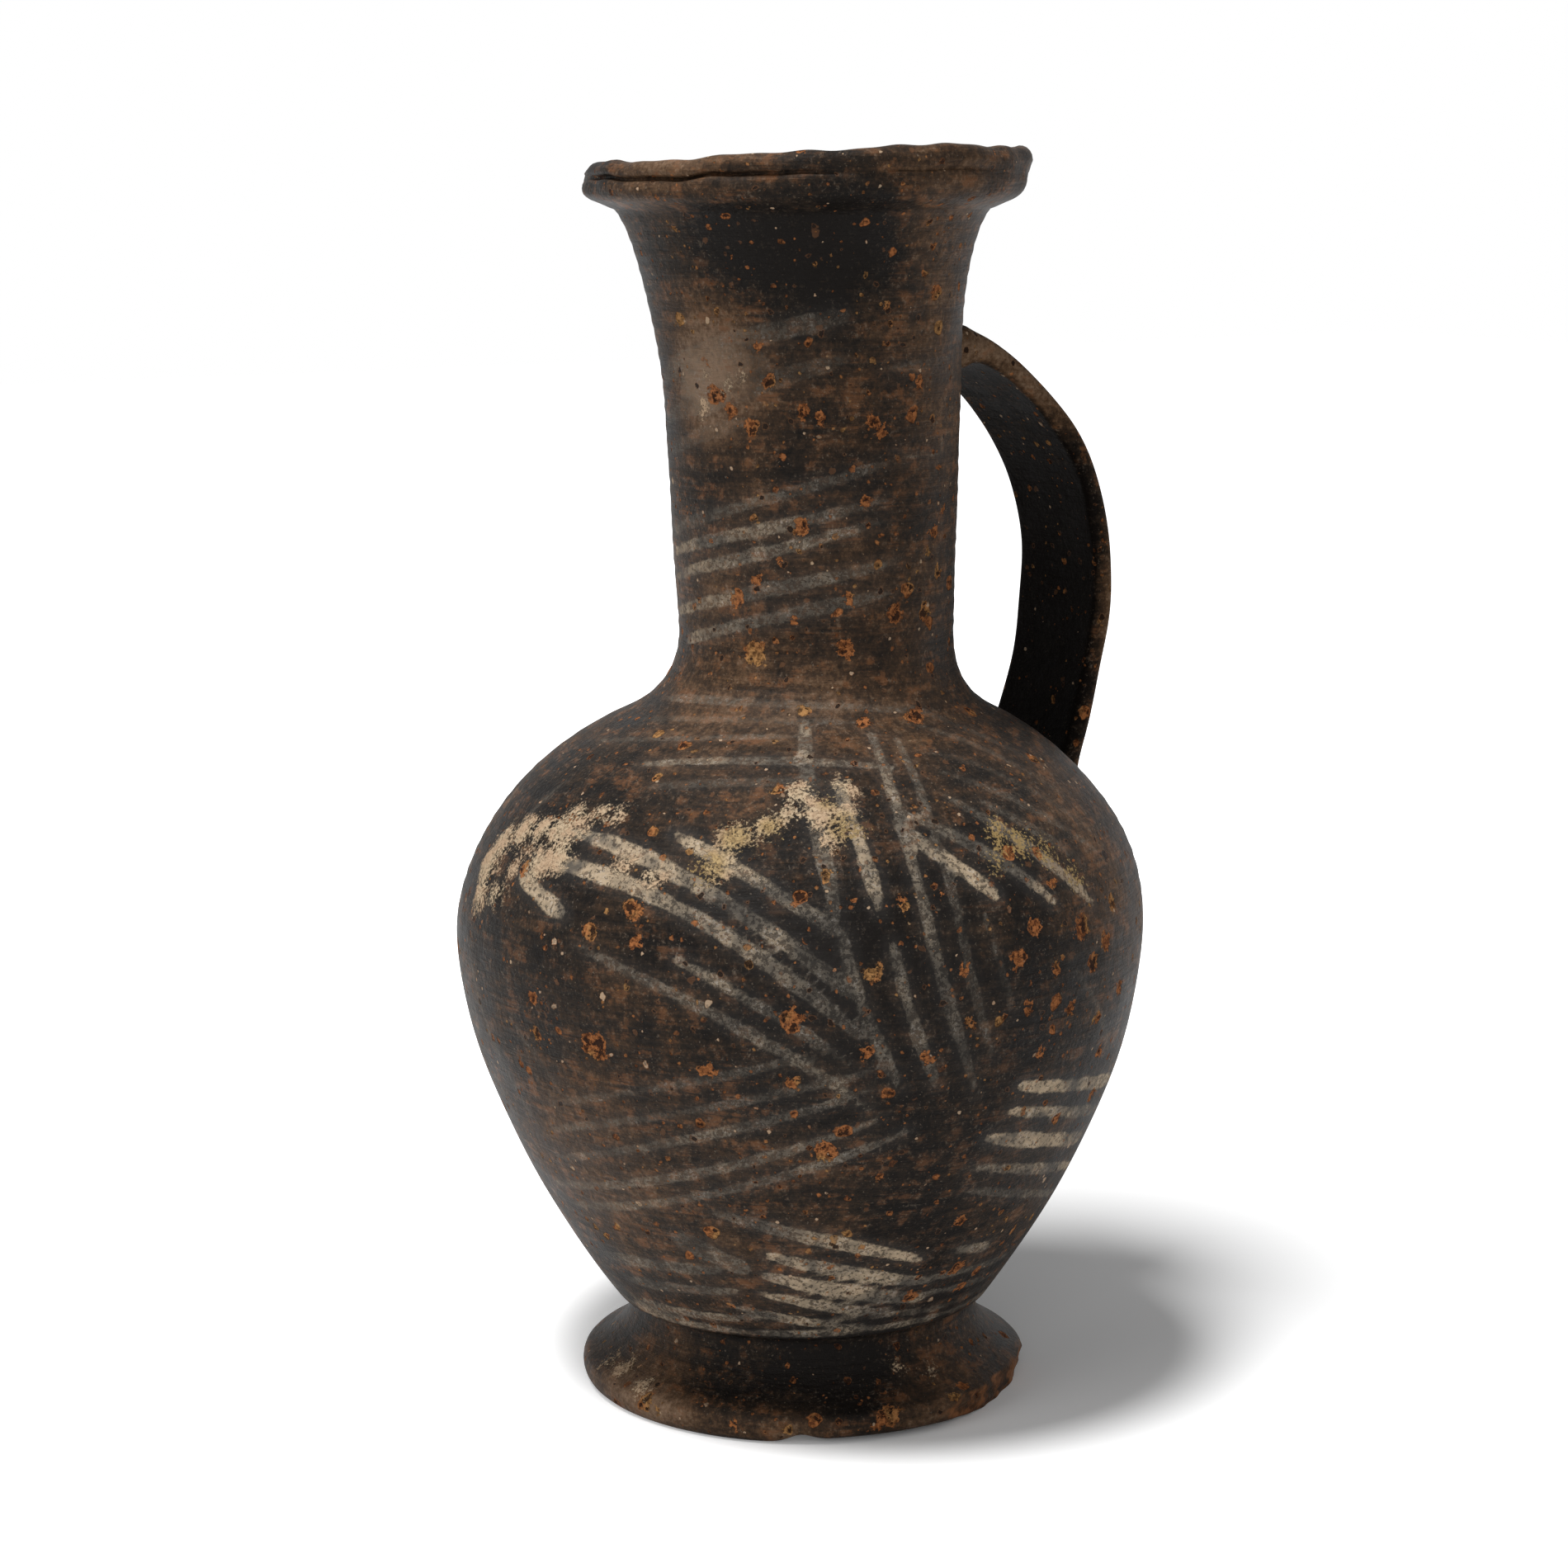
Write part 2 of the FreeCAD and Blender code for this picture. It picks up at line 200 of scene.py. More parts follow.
# How deep each point lies inside a brush stroke, in millimetres, and how far along it
def inside_stroke(points, start, end, bend, half_width):
    t = np.linspace(0.0, 1.0, 25)
    along = np.array([(end[0] - start[0]) * 1.2, end[1] - start[1]])
    side = np.array([-along[1], along[0]]) / np.hypot(*along)
    sweep = bend * 4 * t * (1 - t)
    line = on_wall(start[0] + (end[0] - start[0]) * t + side[0] * sweep / 1.2,
                   start[1] + (end[1] - start[1]) * t + side[1] * sweep)
    pressed = half_width * (1 - 0.45 * np.abs(2 * t - 1) ** 5 + 0.09 * np.sin(9 * t + start[0] + start[1]))
    depth = np.full(len(points), -99.0)
    along = np.zeros(len(points))
    for step, (a, b) in enumerate(zip(line, line[1:])):
        share = np.clip(((points - a) @ (b - a)) / ((b - a) @ (b - a)), 0.0, 1.0)
        away = np.linalg.norm(points - a - share[:, None] * (b - a), axis=1)
        inside = pressed[step] + (pressed[step + 1] - pressed[step]) * share - away
        along = np.where(inside > depth, (step + share) / (len(t) - 1), along)
        depth = np.maximum(depth, inside)
    return depth, along


# Brush strokes of pale clay paint, as (start, end, bend, width, strength at the start, strength at the end),
# each place an azimuth and a height
strokes = [
    # Lower neck, rising round it
    ((-200, 175), (-95, 190), 0.0, 2.4, 0.45, 0.28),
    ((-200, 171), (-95, 183), 0.0, 2.5, 0.72, 0.38),
    ((-200, 166), (-95, 179), 0.0, 2.6, 0.72, 0.38),
    ((-200, 159), (-90, 171), 0.5, 2.8, 0.66, 0.36),
    ((-190, 154), (-93, 165), 0.8, 2.7, 0.66, 0.34),
    # Upper neck, worn faint
    ((-200, 205), (-112, 218), 1.0, 4.4, 0.40, 0.24),
    ((-200, 197), (-112, 210), 0.0, 4.0, 0.32, 0.16),
    ((-196, 191), (-150, 198), 0.0, 3.0, 0.34, 0.16),
    ((-178, 203), (-146, 208), 0.0, 11.0, 0.36, 0.22),
    ((-97, 208), (-60, 209), 0.0, 1.8, 0.30, 0.30),
    ((-91, 192), (-64, 191), -1.0, 0.9, 0.55, 0.55),
    ((-64, 191), (-64, 194), 0.0, 0.9, 0.45, 0.45),
    # Round the shoulder
    ((-200, 142), (-85, 142), 2.2, 1.9, 0.35, 0.35),
    ((-200, 138), (-110, 141), 1.4, 1.7, 0.25, 0.25),
    ((-200, 134), (-125, 139), 1.0, 1.8, 0.35, 0.35),
    ((-168, 133), (-104, 134), 1.7, 2.4, 0.50, 0.50),
    ((-160, 130), (-118, 132), 0.8, 2.4, 0.25, 0.25),
    ((-92, 143), (-60, 132), 2.5, 1.8, 0.25, 0.25),
    ((-92, 140), (-60, 125), 3.5, 1.8, 0.30, 0.30),
    ((-93, 136), (-60, 119), 3.5, 1.8, 0.25, 0.25),
    ((-93, 133), (-60, 113), 3.0, 2.0, 0.30, 0.30),
    # Down from the shoulder over the belly's front
    ((-127, 141), (-119, 110), 0.6, 3.0, 0.60, 0.35),
    ((-118, 132), (-112, 111), 0.8, 2.7, 0.85, 0.62),
    ((-106, 139), (-94, 74), -4.4, 2.5, 0.58, 0.34),
    ((-99, 138), (-92, 81), -4.0, 2.1, 0.40, 0.26),
    ((-94, 109), (-89, 89), 0.0, 1.8, 0.25, 0.25),
    ((-118, 107), (-108, 77), -1.2, 2.6, 0.45, 0.45),
    ((-110, 105), (-102, 77), -0.8, 2.4, 0.45, 0.45),
    ((-76, 96), (-59, 75), 0.0, 2.0, 0.30, 0.30),
    # From the left down to the belly's middle
    ((-172, 121), (-115, 95), 7.0, 3.2, 1.00, 0.38),
    ((-178, 115), (-115, 88), 9.5, 3.2, 1.00, 0.34),
    ((-149, 123), (-118, 107), 1.6, 2.8, 0.90, 0.35),
    ((-162, 102), (-113, 73), 4.0, 2.4, 0.35, 0.55),
    ((-144, 102), (-116, 82), 1.4, 2.3, 0.60, 0.35),
    ((-180, 112), (-166, 107), 0.0, 3.4, 1.00, 0.75),
    # From the front down to the right
    ((-107, 125), (-91, 112), 0.4, 3.2, 0.50, 0.95),
    ((-105, 127), (-79, 109), 2.0, 2.8, 0.45, 0.80),
    ((-94, 129), (-69, 107), 1.4, 2.8, 0.40, 0.70),
    ((-87, 128), (-68, 114), 0.8, 2.4, 0.35, 0.35),
    # Low on the left, rising to the front
    ((-173, 68), (-120, 85), 0.0, 1.9, 0.35, 0.35),
    ((-175, 62), (-113, 81), 0.0, 2.0, 0.40, 0.40),
    ((-178, 55), (-113, 77), -0.8, 2.2, 0.45, 0.45),
    ((-184, 48), (-111, 71), -2.4, 2.3, 0.45, 0.45),
    ((-182, 44), (-106, 68), -2.7, 2.1, 0.45, 0.45),
    # Short bold ones low on the right
    ((-85, 74), (-48, 66), 0.0, 3.0, 1.00, 0.70),
    ((-86, 69), (-50, 60), 0.0, 2.6, 0.90, 0.60),
    ((-90, 64), (-54, 55), 0.0, 3.4, 1.00, 0.60),
    ((-92, 58), (-50, 48), 0.0, 2.6, 0.50, 0.75),
    ((-92, 53), (-54, 43), 0.0, 2.2, 0.35, 0.60),
    # Close together above the foot
    ((-141, 50), (-97, 37.5), 0.2, 3.4, 0.40, 0.90),
    ((-87, 38), (-76, 36.5), 0.0, 2.8, 0.50, 0.60),
    ((-131, 40.5), (-91, 31), -0.4, 3.6, 0.75, 0.72),
    ((-94, 32), (-60, 31), 0.0, 2.2, 0.60, 0.40),
    ((-132, 35.5), (-92, 27), -0.4, 4.1, 0.85, 0.70),
    ((-96, 28), (-63, 27), 0.0, 2.0, 0.55, 0.35),
    ((-134, 31), (-97, 24), -0.3, 2.9, 0.75, 0.60),
    ((-100, 24), (-64, 22.6), 0.0, 1.8, 0.45, 0.30),
    ((-142, 27), (-99, 20.5), -0.4, 2.5, 0.60, 0.70),
    ((-151, 43), (-137, 37), 0.0, 5.2, 0.38, 0.45),
    ((-178, 33.5), (-143, 36), 0.0, 3.2, 0.36, 0.52),
    ((-174, 28.5), (-140, 31), 0.0, 2.8, 0.40, 0.55),
    ((-179, 22.5), (-137, 24), 0.0, 2.2, 0.45, 0.50),
    # On the left edge
    ((-194, 96), (-180, 62), -2.0, 2.0, 0.35, 0.35),
    ((-179, 84), (-167, 70), 0.0, 1.8, 0.25, 0.25),
    ((-203, 100), (-192, 64), 0.0, 2.0, 0.25, 0.25),
    ((-212, 127), (-202, 116), 0.0, 1.8, 0.25, 0.25),
    ((-187, 128), (-190, 120), 0.0, 1.8, 0.25, 0.25),
]
# The side that the maker's hand came round to last: the same groups, fewer and more worn
for step in range(4):
    strokes.append(((150 - 3 * step, 118 - 7 * step), (85 - 3 * step, 84 - 7 * step), 4.0, 2.3, 0.40, 0.25))
    strokes.append(((60, 74 - 6 * step), (128, 66 - 6 * step), 0.0, 2.2, 0.35, 0.22))
    strokes.append(((22 + 9 * step, 128), (38 + 9 * step, 84), 1.0, 2.2, 0.40, 0.22))
    strokes.append(((40, 174 - 6 * step), (150, 166 - 6 * step), 0.0, 2.3, 0.25, 0.35))
# Rings where the body meets the foot
for ring_height, ring_width in ((20.6, 2.2), (23.9, 1.2)):
    for start in range(-200, 160, 60):
        force = 0.60 if start < -50 else 0.30
        drift = 0.4 * math.sin(0.05 * start + ring_height)
        strokes.append(((start, ring_height - drift), (start + 62, ring_height + drift),
                        0.0, ring_width, force, force))

points = places.reshape(-1, 3)
on_outside = np.zeros(radius.shape, bool)
on_outside[rows_of["foot"].start:rows_of["fold"].start] = True
on_outside = on_outside.reshape(-1)
paint = np.full(len(points), -9.0)
strength = np.zeros(len(points))
for start, end, bend, width, force, end_force in strokes:
    middle = on_wall(np.array([(start[0] + end[0]) / 2]), np.array([(start[1] + end[1]) / 2]))[0]
    reach = 30.0 + abs(end[0] - start[0]) * 1.25 * 0.5 + abs(end[1] - start[1]) * 0.5
    close = np.where(on_outside & (np.linalg.norm(points - middle, axis=1) < reach))[0]
    depth, along = inside_stroke(points[close], start, end, bend, width / 2)
    better = depth > paint[close]
    paint[close[better]] = depth[better]
    strength[close[better]] = (force + (end_force - force) * along)[better]


# The largest depth inside any of several round patches, each an azimuth, a height and a radius
def inside_patches(points, patches):
    depth = np.full(len(points), -9.0)
    for azimuth, height, size in patches:
        middle = on_wall(np.array([float(azimuth)]), np.array([float(height)]))[0]
        depth = np.maximum(depth, size - np.linalg.norm(points - middle, axis=1))
    return depth


# Cream crust left by the burial soil, thick on the left and the front of the shoulder, thin on the right
crust_patches = [
    (-178, 117, 1.6), (-184, 113, 1.4), (-170, 121, 1.6), (-166, 208, 1.0), (-158, 205, 1.0), (-171, 200, 0.6),
    (-150, 206, 0.4), (-192, 106, 3.5), (-194, 111, 4.5), (-193, 116, 4.0), (-187, 119, 3.6), (-181, 120, 3.4),
    (-175, 121, 4.0), (-172, 117, 4.0), (-177, 114, 3.4), (-174, 124, 2.6), (-168, 125, 2.0), (-164, 125, 1.6),
    (-186, 107, 2.8), (-139, 119, 3.6), (-137, 123, 3.0), (-132, 125, 2.2), (-128, 127, 2.8), (-126, 130, 3.2),
    (-122, 127, 3.4), (-117, 131, 2.6), (-117, 127, 2.6), (-120, 123, 1.8), (-157, 117, 2.0), (-151, 116, 2.2),
    (-172, 6.5, 1.8), (176, 7.2, 2.0), (168, 6.8, 1.4), (-94, 11.6, 0.4), (-84, 9.5, 0.4),
]
yellow_patches = [
    (-141, 118, 4.0), (-137, 123, 3.6), (-131, 125, 2.8), (-117, 125, 3.6), (-120, 129, 2.4), (-86, 122, 3.8),
    (-82, 120, 4.0), (-77, 118, 3.4), (-89, 118, 2.6), (-72, 113, 2.6),
]
crust = np.where(on_outside, inside_patches(points, crust_patches), -9.0)
yellow = np.where(on_outside, inside_patches(points, yellow_patches), -9.0)

# Grains in the clay that burst or fell out, and left orange hollows with a darker middle
fleck_patches = [
    (-153, 110, 2.3), (-159, 83, 3.4), (-126, 91.5, 2.6), (-129, 178, 2.2), (-139, 81, 2.0), (-157, 164, 2.0),
    (-111, 164, 1.6), (-113, 100, 1.7), (-108, 112, 1.6), (-114, 85, 1.6), (-172, 90, 2.0), (-125, 79, 1.8),
    (-120, 64.6, 2.6), (-172, 83, 1.8), (-160, 105, 1.7), (-151, 104, 1.6), (-102, 113, 1.3), (-84, 105, 2.2),
    (-88, 100, 1.8), (-86, 90, 1.7), (-98, 100, 1.4), (-104, 83, 1.6), (-97, 89, 1.4), (-82, 80, 1.5),
    (-73, 103, 2.4), (-66, 99, 1.8), (-76, 88, 1.6), (-70, 96, 2.0), (-62, 106, 1.8), (-68, 84, 1.6),
    (-60, 88, 1.8), (-64, 76, 1.6), (-78, 112, 1.5), (-92, 122, 1.4), (-80, 97, 1.5), (-121, 117, 1.2),
    (-131, 131, 1.8), (-107, 141, 1.8), (-88, 141, 2.2), (-128, 143, 1.4), (-150, 153, 2.6), (-112, 154, 2.0),
    (-104, 183, 1.6), (-127, 200, 1.4), (-121, 199, 1.6), (-100, 198, 1.4), (-80, 205, 1.2), (-95, 220, 1.2),
    (-60, 180, 1.3), (-72, 172, 1.2), (-140, 206, 1.5), (-148, 168, 1.2), (-102, 4.6, 2.2), (-105, 3.4, 1.6),
    (-168, 4.2, 1.8), (-164, 3.2, 1.4), (-142, 3.6, 1.2), (-128, 3.2, 1.0), (-82, 5.8, 1.6), (-77, 6.4, 1.4),
    (-60, 66, 1.6), (-90, 45, 1.8), (-84, 33, 2.0), (-95, 28, 2.2), (-78, 27, 1.6), (-110, 58, 1.2),
    (-163, 203, 2.2), (-157, 200, 1.6), (-148, 197, 1.5), (-166, 209, 1.3), (-144, 212, 1.2), (-70, 176, 1.6),
    (-66, 168, 1.7), (-75, 160, 1.8), (-92, 161, 2.0), (-97, 196, 1.5), (-133, 160, 1.3), (-138, 171, 1.4),
    (-66, 188, 1.5), (-72, 222, 1.4), (-80, 226, 1.3), (60, 110, 2.4), (95, 84, 2.0), (130, 120, 2.2),
    (75, 60, 1.8), (110, 170, 1.6), (40, 95, 1.6), (155, 92, 2.0), (85, 140, 1.8), (50, 200, 1.4),
    (140, 40, 1.8),
]
fleck = np.where(on_outside, inside_patches(points, fleck_patches), -9.0)

# Where the firing left the slip browner than elsewhere, or blacker where the change is below zero,
# as (azimuth, height, spread, change); a few darker entries, marked below, are painted shade, and a few lighter
# ones painted light
brown_places_with_painted_light = [
    (-170, 204, 11, 0.60), (-155, 206, 11, 0.34), (-162, 219, 13, 0.40), (-165, 180, 22, 0.16),
    (-75, 215, 18, 0.32), (-80, 232, 11, 0.20), (-60, 190, 20, 0.30), (-165, 58, 26, 0.40),
    # The last two entries here and the first on the next line are painted shade: the flare darkened under the lip's
    # overhang on the front
    (-150, 82, 18, 0.10), (-125, 60, 18, 0.22), (-108, 231, 14, -0.62), (-148, 233, 12, -0.50),
    (-124, 230, 11, -0.22), (-110, 100, 30, -0.16), (-62, 120, 18, 0.40), (-58, 95, 16, 0.18),
    # The last entry here is painted shade: the top of the foot darkened on the front, where the belly overhangs it
    (-115, 145, 30, 0.34), (-152, 138, 18, 0.10), (-140, 30, 20, 0.20), (-118, 13, 13, -0.42),
    (-70, 10, 12, 0.26), (-175, 8, 12, 0.55), (-174, 246, 10, 0.55), (-156, 246, 9, 0.60),
    (-138, 246, 9, 0.30), (-85, 245, 16, 0.48), (-125, 190, 12, -0.10), (-125, 156, 11, -0.14),
    # The three entries at height 1 are painted light: the face of the foot's band lightened on the front
    (-118, 108, 12, -0.14), (-125, 1, 9, 0.32), (-160, 1, 9, 0.25), (-95, 1, 9, 0.25), (-90, 140, 14, 0.15),
    (60, 110, 40, 0.22), (110, 60, 35, 0.25), (150, 150, 35, 0.20), (40, 210, 30, 0.25),
]
tone = np.full(len(points), 0.235)
for place_azimuth, place_height, spread, change in brown_places_with_painted_light:
    middle = on_wall(np.array([float(place_azimuth)]), np.array([float(place_height)]))[0]
    tone += change * np.exp(-(np.linalg.norm(points - middle, axis=1) / spread) ** 2)
tone = tone.reshape(radius.shape)
# Painted light: the face of the foot's band lightened all the way round
tone[rows_of["foot"]] += 0.34 * np.exp(-((foot_height - 3.2) / 3.0) ** 2)
tone[rows_of["inside"]] = 0.45
tone[rows_of["underside"]] = 0.60
tone = tone.reshape(-1)

# The crust stands a little proud of the wall, and the hollows sink into it
outward = np.stack([np.gradient(outline[:, 1]), -np.gradient(outline[:, 0])], axis=-1)
outward /= np.linalg.norm(outward, axis=1)[:, None]
ray = np.stack([outward[:, 0:1] * np.cos(azimuth), outward[:, 0:1] * np.sin(azimuth),
                outward[:, 1:2] * np.ones_like(azimuth)], axis=-1).reshape(-1, 3)
lift = 0.35 * np.clip(crust / 1.5, 0.0, 1.0) - 0.25 * np.clip(fleck / 1.2, 0.0, 1.0)
points = points + ray * lift[:, None]


# A closed skin over rows of points, each row running once round, with a point at each end
def closed_skin(name, points, columns):
    rows = len(points) // columns
    corner = np.arange(rows * columns).reshape(rows, columns)
    beside = np.roll(corner, -1, axis=1)
    quads = np.stack([corner[:-1], beside[:-1], beside[1:], corner[1:]], axis=-1).reshape(-1, 4)
    first, last = len(points), len(points) + 1
    caps = [(first, int(b), int(a)) for a, b in zip(corner[0], beside[0])]
    caps += [(last, int(a), int(b)) for a, b in zip(corner[-1], beside[-1])]
    poles = [points[:columns].mean(axis=0), points[-columns:].mean(axis=0)]
    mesh = bpy.data.meshes.new(name)
    mesh.from_pydata(np.vstack([points, poles]) * mm, [], quads.tolist() + caps)
    mesh.shade_smooth()
    piece = bpy.data.objects.new(name, mesh)
    bpy.context.scene.collection.objects.link(piece)
    return piece


# One value for each point of the skin, for the material to read
def note(piece, name, values):
    layer = piece.data.attributes.new(name, "FLOAT", "POINT")
    layer.data.foreach_set("value", np.concatenate([values, [values[0], values[-1]]]).astype(np.float32))


pot = closed_skin("jug_wall", points, columns)
note(pot, "paint", paint)
note(pot, "paint_strength", strength)
note(pot, "crust", crust)
note(pot, "yellow", yellow)
note(pot, "fleck", fleck)
note(pot, "tone", tone)
note(pot, "broken", broken.reshape(-1))

# The surface: dark slip rubbed to a dull shine, with worn paint, soil crust and orange hollows over it
clay = bpy.data.materials.new("burnished_clay")
clay.use_nodes = True
nodes, links = clay.node_tree.nodes, clay.node_tree.links
skin_shader = nodes["Principled BSDF"]


def connect(value, socket):
    if isinstance(value, bpy.types.NodeSocket):
        links.new(value, socket)
    else:
        socket.default_value = value


def math_of(operation, first, second=0.0, third=None, clamp=False):
    step = nodes.new("ShaderNodeMath")
    step.operation = operation
    step.use_clamp = clamp
    connect(first, step.inputs[0])
    connect(second, step.inputs[1])
    if third is not None:
        connect(third, step.inputs[2])
    return step.outputs[0]


def mixed(share, first, second):
    step = nodes.new("ShaderNodeMix")
    step.data_type = "RGBA"
    connect(share, step.inputs["Factor"])
    connect(first, step.inputs[6])
    connect(second, step.inputs[7])
    return step.outputs[2]


# A soft edge: 0 below the first value and 1 above the second
def edge(value, low, high):
    step = nodes.new("ShaderNodeMapRange")
    step.interpolation_type = "SMOOTHSTEP"
    connect(value, step.inputs["Value"])
    step.inputs["From Min"].default_value = low
    step.inputs["From Max"].default_value = high
    return step.outputs[0]


def noted(name):
    step = nodes.new("ShaderNodeAttribute")
    step.attribute_name = name
    return step.outputs["Fac"]


where = nodes.new("ShaderNodeTexCoord").outputs["Object"]


# Cloudy variation with features of about one size in millimetres, squeezed by a factor up the wall
def cloud(size, detail=3.0, squeeze=1.0, roughness=0.55):
    stretch = nodes.new("ShaderNodeMapping")
    links.new(where, stretch.inputs["Vector"])
    stretch.inputs["Scale"].default_value = (1.0, 1.0, squeeze)
    step = nodes.new("ShaderNodeTexNoise")
    links.new(stretch.outputs[0], step.inputs["Vector"])
    step.inputs["Scale"].default_value = 1000.0 / size
    step.inputs["Detail"].default_value = detail
    step.inputs["Roughness"].default_value = roughness
    return step.outputs["Fac"]


# Scattered round spots: how deep inside a spot each place is, and a random number for each spot
def spots(cell, rarity, size, wobble):
    shift = nodes.new("ShaderNodeTexNoise")
    links.new(where, shift.inputs["Vector"])
    shift.inputs["Scale"].default_value = 2200.0 / cell
    moved = nodes.new("ShaderNodeVectorMath")
    moved.operation = "MULTIPLY_ADD"
    links.new(shift.outputs["Color"], moved.inputs[0])
    moved.inputs[1].default_value = (wobble * mm,) * 3
    links.new(where, moved.inputs[2])
    step = nodes.new("ShaderNodeTexVoronoi")
    links.new(moved.outputs[0], step.inputs["Vector"])
    step.inputs["Scale"].default_value = 1000.0 / cell
    split = nodes.new("ShaderNodeSeparateColor")
    links.new(step.outputs["Color"], split.inputs[0])
    reach = math_of("MULTIPLY", math_of("SUBTRACT", split.outputs[0], rarity, clamp=True), size / (1 - rarity))
    return math_of("SUBTRACT", reach, step.outputs["Distance"]), split.outputs[1]


broad = cloud(45.0)
patchy = cloud(11.0, detail=5.0)
clump = cloud(5.0, detail=4.0, roughness=0.65)
grain = cloud(2.2, detail=4.0, roughness=0.7)
fine = cloud(0.9, detail=3.0, roughness=0.7)
wiped = cloud(24.0, detail=5.0, squeeze=14.0, roughness=0.7)
powder = cloud(0.6, detail=2.0, roughness=0.6)


# A value pushed up and down by a cloud
def swayed(value, cloudy, amount):
    return math_of("MULTIPLY_ADD", math_of("SUBTRACT", cloudy, 0.5), amount, value)


# The slip changes from soot black to brown, more evenly where it is brown
mottle = 0.0
for cloudy, amount in ((patchy, 1.00), (wiped, 1.10), (broad, 0.60), (clump, 0.70)):
    mottle = swayed(mottle, cloudy, amount)
mottle = math_of("MULTIPLY", mottle, math_of("MULTIPLY_ADD", noted("tone"), -0.70, 1.16))
for cloudy, amount in ((grain, 0.85), (fine, 0.90)):
    mottle = swayed(mottle, cloudy, amount)
slip_tone = math_of("ADD", noted("tone"), mottle)
slip = nodes.new("ShaderNodeValToRGB")
links.new(math_of("MULTIPLY", slip_tone, 0.80), slip.inputs["Fac"])
soot_black, warm_black = (0.0045, 0.0034, 0.0028, 1.0), (0.0125, 0.0086, 0.0060, 1.0)
dark_brown, mid_brown = (0.0310, 0.0182, 0.0108, 1.0), (0.0660, 0.0375, 0.0205, 1.0)
buff_brown = (0.1700, 0.1100, 0.0700, 1.0)
steps = slip.color_ramp.elements
steps[0].position, steps[0].color = 0.04, soot_black
steps[1].position, steps[1].color = 1.0, buff_brown
for position, colour in ((0.25, warm_black), (0.46, dark_brown), (0.64, mid_brown)):
    steps.new(position).color = colour

# Rust-brown places where the slip is rubbed through
rubbed = swayed(clump, grain, 0.55)
rubbed = math_of("MULTIPLY", edge(rubbed, 0.50, 0.66), edge(wiped, 0.42, 0.58))
rubbed = math_of("MULTIPLY", rubbed, edge(noted("tone"), 0.02, 0.45))
rust = (0.110, 0.047, 0.020, 1.0)
surface = mixed(math_of("MULTIPLY", rubbed, 0.70), slip.outputs["Color"], rust)

# Fine pale dust and salts held in the grain
dust = math_of("MULTIPLY", edge(fine, 0.54, 0.70), edge(clump, 0.44, 0.62))
dust = math_of("MAXIMUM", math_of("MULTIPLY", dust, 0.30), math_of("MULTIPLY", edge(powder, 0.64, 0.72), 0.32))
dust = math_of("MULTIPLY", dust, math_of("MULTIPLY_ADD", edge(noted("tone"), -0.25, 0.25), 0.75, 0.25))
pale_dust = (0.170, 0.135, 0.102, 1.0)
surface = mixed(dust, surface, pale_dust)

# Worn stripes of pale paint: grey where the brush ran thin, buff where it is thick, pierced by fine pores
paint_depth = swayed(noted("paint"), grain, 0.7)
paint_depth = swayed(paint_depth, fine, 1.3)
paint_depth = swayed(paint_depth, clump, 1.4)
worn = math_of("MULTIPLY_ADD", edge(patchy, 0.32, 0.58), 0.45, 0.30)
worn = math_of("MULTIPLY_ADD", edge(clump, 0.40, 0.58), 0.25, worn)
pores = edge(math_of("MULTIPLY_ADD", noted("paint_strength"), -0.14, fine), 0.40, 0.46)
thick_paint = math_of("MULTIPLY", noted("paint_strength"), worn)
cover = math_of("MULTIPLY", edge(paint_depth, -0.25, 0.30), thick_paint)
cover = math_of("MULTIPLY", cover, math_of("MULTIPLY_ADD", pores, -0.75, 1.0))
haze = math_of("MULTIPLY", edge(paint_depth, -3.0, 0.2), math_of("MULTIPLY", noted("paint_strength"), 0.13))
smoke_grey, chalk_white = (0.110, 0.102, 0.095, 1.0), (0.470, 0.440, 0.400, 1.0)
thin_grey, thick_buff = (0.185, 0.160, 0.128, 1.0), (0.375, 0.290, 0.195, 1.0)
surface = mixed(haze, surface, smoke_grey)
paint_colour = mixed(edge(thick_paint, 0.25, 0.75), thin_grey, thick_buff)
chalk = math_of("MULTIPLY", edge(powder, 0.52, 0.62), edge(clump, 0.48, 0.60))
paint_colour = mixed(math_of("MULTIPLY", chalk, 0.45), paint_colour, chalk_white)
surface = mixed(cover, surface, paint_colour)

# Orange hollows: the chosen large ones and a scatter in three sizes, most with a dark hole inside
large = spots(7.0, 0.60, 0.27, 2.6)[0]
small, small_kind = spots(3.0, 0.50, 0.32, 1.5)
tiny, tiny_kind = spots(1.5, 0.40, 0.32, 0.6)
prick, prick_kind = spots(3.3, 0.12, 0.23, 1.4)
prick = swayed(prick, fine, 0.22)
thick = edge(cloud(30.0, detail=2.0), 0.34, 0.56)
large_spot = math_of("MULTIPLY", edge(large, 0.0, 0.04), edge(thick, 0.10, 0.5))
small_spot = math_of("MULTIPLY", edge(small, 0.0, 0.06), math_of("MULTIPLY_ADD", thick, 0.6, 0.4))
tiny_spot = math_of("MULTIPLY", edge(tiny, 0.0, 0.08), edge(tiny_kind, 0.25, 0.30))
fleck_depth = swayed(noted("fleck"), clump, 5.0)
fleck_depth = swayed(fleck_depth, grain, 3.2)
fleck_depth = swayed(fleck_depth, fine, 1.6)
chosen = edge(fleck_depth, 0.10, 0.40)
scatter = math_of("MAXIMUM", large_spot, math_of("MULTIPLY", small_spot, 0.85))
scatter = math_of("MAXIMUM", scatter, math_of("MULTIPLY", tiny_spot, 0.75))
deep_orange, bright_orange = (0.070, 0.024, 0.009, 1.0), (0.270, 0.100, 0.034, 1.0)
deep_gold, bright_gold = (0.080, 0.038, 0.014, 1.0), (0.290, 0.150, 0.055, 1.0)
orange = mixed(edge(fine, 0.36, 0.62), deep_orange, bright_orange)
